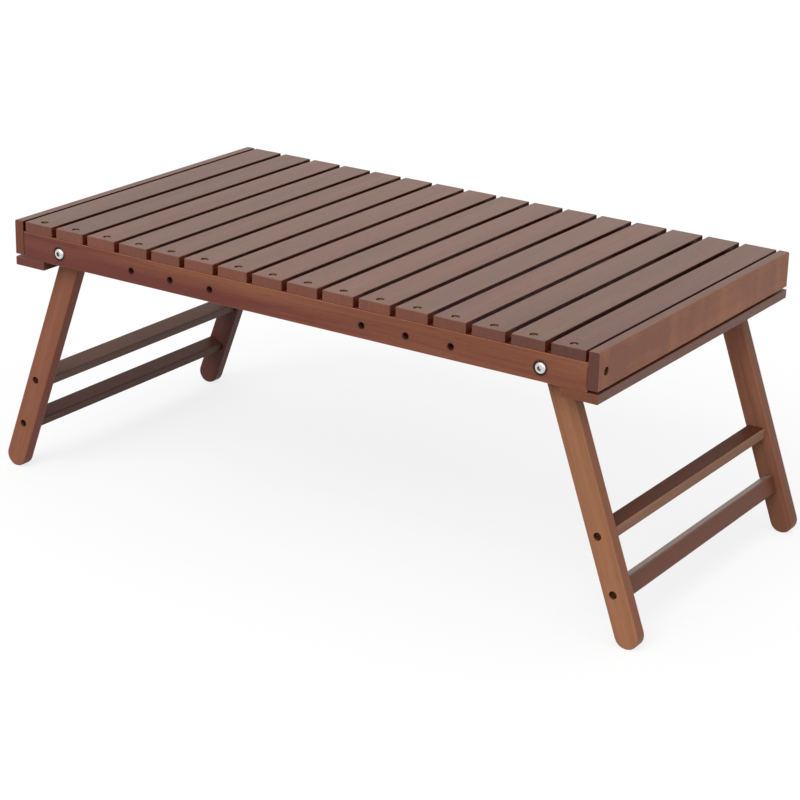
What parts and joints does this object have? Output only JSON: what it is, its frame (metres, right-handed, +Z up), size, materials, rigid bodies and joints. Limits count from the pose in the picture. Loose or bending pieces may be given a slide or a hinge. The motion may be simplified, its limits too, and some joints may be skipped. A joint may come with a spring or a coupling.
{
  "type": "folding camping table",
  "caption": "Low folding camping table in dark stained wood: a slatted top on side rails, with splayed leg frames that swing on bolts and fold flat between the rails.",
  "frame": {"origin": "on the floor under the middle of the table, legs open", "axes": "+X along the table's length to the right, +Y across it to the back, +Z up"},
  "size_m": [1.0206, 0.5218, 0.379],
  "materials": {
    "slat_wood": "walnut-brown stain under satin lacquer, grain along the slat",
    "rail_wood": "reddish-brown stain under satin lacquer, grain along the rail",
    "end_wood": "walnut-brown stain under satin lacquer, grain along the board",
    "leg_wood": "lighter walnut-brown stain under satin lacquer, grain along the leg",
    "rung_wood": "dark walnut-brown stain under satin lacquer, grain along the rung",
    "plated_steel": "bright nickel plate",
    "washer_steel": "plain zinc plate",
    "dark_screw_steel": "dark bronzed steel"
  },
  "bodies": {
    "table_top": {"slat_01": "slat_wood", "slat_02": "slat_wood", "slat_03": "slat_wood", "slat_04": "slat_wood", "slat_05": "slat_wood", "slat_06": "slat_wood", "slat_07": "slat_wood", "slat_08": "slat_wood", "slat_09": "slat_wood", "slat_10": "slat_wood", "slat_11": "slat_wood", "slat_12": "slat_wood", "slat_13": "slat_wood", "slat_14": "slat_wood", "slat_15": "slat_wood", "slat_16": "slat_wood", "front_rail": "rail_wood", "back_rail": "rail_wood", "left_end_board": "end_wood", "right_end_board": "end_wood", "left_stop_strip": "end_wood", "right_stop_strip": "end_wood", "end_screw_left": "dark_screw_steel", "end_screw_right": "dark_screw_steel", "strip_screw_front_left": "dark_screw_steel", "strip_screw_back_left": "dark_screw_steel", "strip_screw_front_right": "dark_screw_steel", "strip_screw_back_right": "dark_screw_steel", "pivot_bolt_front_left": "plated_steel", "pivot_bolt_back_left": "plated_steel", "pivot_bolt_front_right": "plated_steel", "pivot_bolt_back_right": "plated_steel", "spacer_washer_front_left": "washer_steel", "spacer_washer_back_left": "washer_steel", "spacer_washer_front_right": "washer_steel", "spacer_washer_back_right": "washer_steel", "sleeve_nut_front_left": "plated_steel", "sleeve_nut_back_left": "plated_steel", "sleeve_nut_front_right": "plated_steel", "sleeve_nut_back_right": "plated_steel"},
    "left_leg_frame": {"front_left_leg": "leg_wood", "back_left_leg": "leg_wood", "left_upper_rung": "rung_wood", "left_lower_rung": "rung_wood", "rung_screw_upper_front_left": "dark_screw_steel", "rung_screw_upper_back_left": "dark_screw_steel", "rung_screw_lower_front_left": "dark_screw_steel", "rung_screw_lower_back_left": "dark_screw_steel"},
    "right_leg_frame": {"front_right_leg": "leg_wood", "back_right_leg": "leg_wood", "right_upper_rung": "rung_wood", "right_lower_rung": "rung_wood", "rung_screw_upper_front_right": "dark_screw_steel", "rung_screw_upper_back_right": "dark_screw_steel", "rung_screw_lower_front_right": "dark_screw_steel", "rung_screw_lower_back_right": "dark_screw_steel"}
  },
  "joints": [
    {"name": "left_leg_fold", "type": "hinge", "parent": "table_top", "child": "left_leg_frame", "pos_m": [-0.37435, 0, 0.3447], "axis": [0, -1, 0], "range_deg": [0, 110]},
    {"name": "right_leg_fold", "type": "hinge", "parent": "table_top", "child": "right_leg_frame", "pos_m": [0.37435, 0, 0.3447], "axis": [0, 1, 0], "range_deg": [0, 110]}
  ]
}
